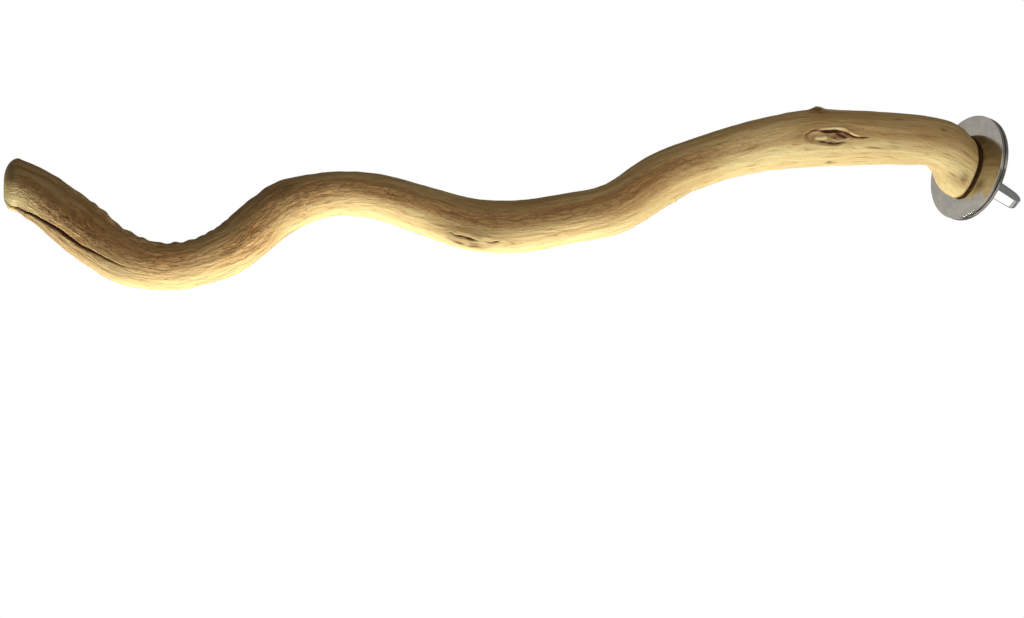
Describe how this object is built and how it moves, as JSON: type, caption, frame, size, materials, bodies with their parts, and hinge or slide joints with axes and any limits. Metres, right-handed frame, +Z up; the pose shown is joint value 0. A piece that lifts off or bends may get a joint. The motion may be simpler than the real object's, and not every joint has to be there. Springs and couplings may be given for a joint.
{
  "type": "cage perch",
  "caption": "Crooked natural wood perch that clamps to cage wire with a threaded stud, large flat washers and a wing nut.",
  "frame": {"origin": "centre of the plane where the two clamping washers meet, on the axis of the stud", "axes": "+X along the stud, away from the stick and out of the cage; the stick runs to -X; +Z up"},
  "size_m": [0.3126, 0.235, 0.0816],
  "materials": {
    "peeled_wood": "matte",
    "zinc_stud": "satin",
    "washer_steel": "satin",
    "nickel_cast": "satin"
  },
  "bodies": {
    "perch": {"branch": "peeled_wood", "hanger_bolt": "zinc_stud"},
    "inner_washer": {"inner_washer": "washer_steel"},
    "outer_washer": {"outer_washer": "washer_steel"},
    "wing_nut": {"wing_nut": "nickel_cast"}
  },
  "joints": [
    {"name": "inner_washer_spin", "type": "hinge", "parent": "perch", "child": "inner_washer", "pos_m": [0, 0, 0], "axis": [1, 0, 0], "continuous": true},
    {"name": "clamp_travel", "type": "slide", "parent": "perch", "child": "outer_washer", "axis": [1, 0, 0], "range_m": [0, 0.008]},
    {"name": "wing_nut_spin", "type": "hinge", "parent": "outer_washer", "child": "wing_nut", "pos_m": [0, 0, 0], "axis": [1, 0, 0], "range_deg": [0, 2880]}
  ],
  "couplings": [
    {"joint": "clamp_travel", "follows": "wing_nut_spin", "m_per_rad": 0.00015915}
  ]
}
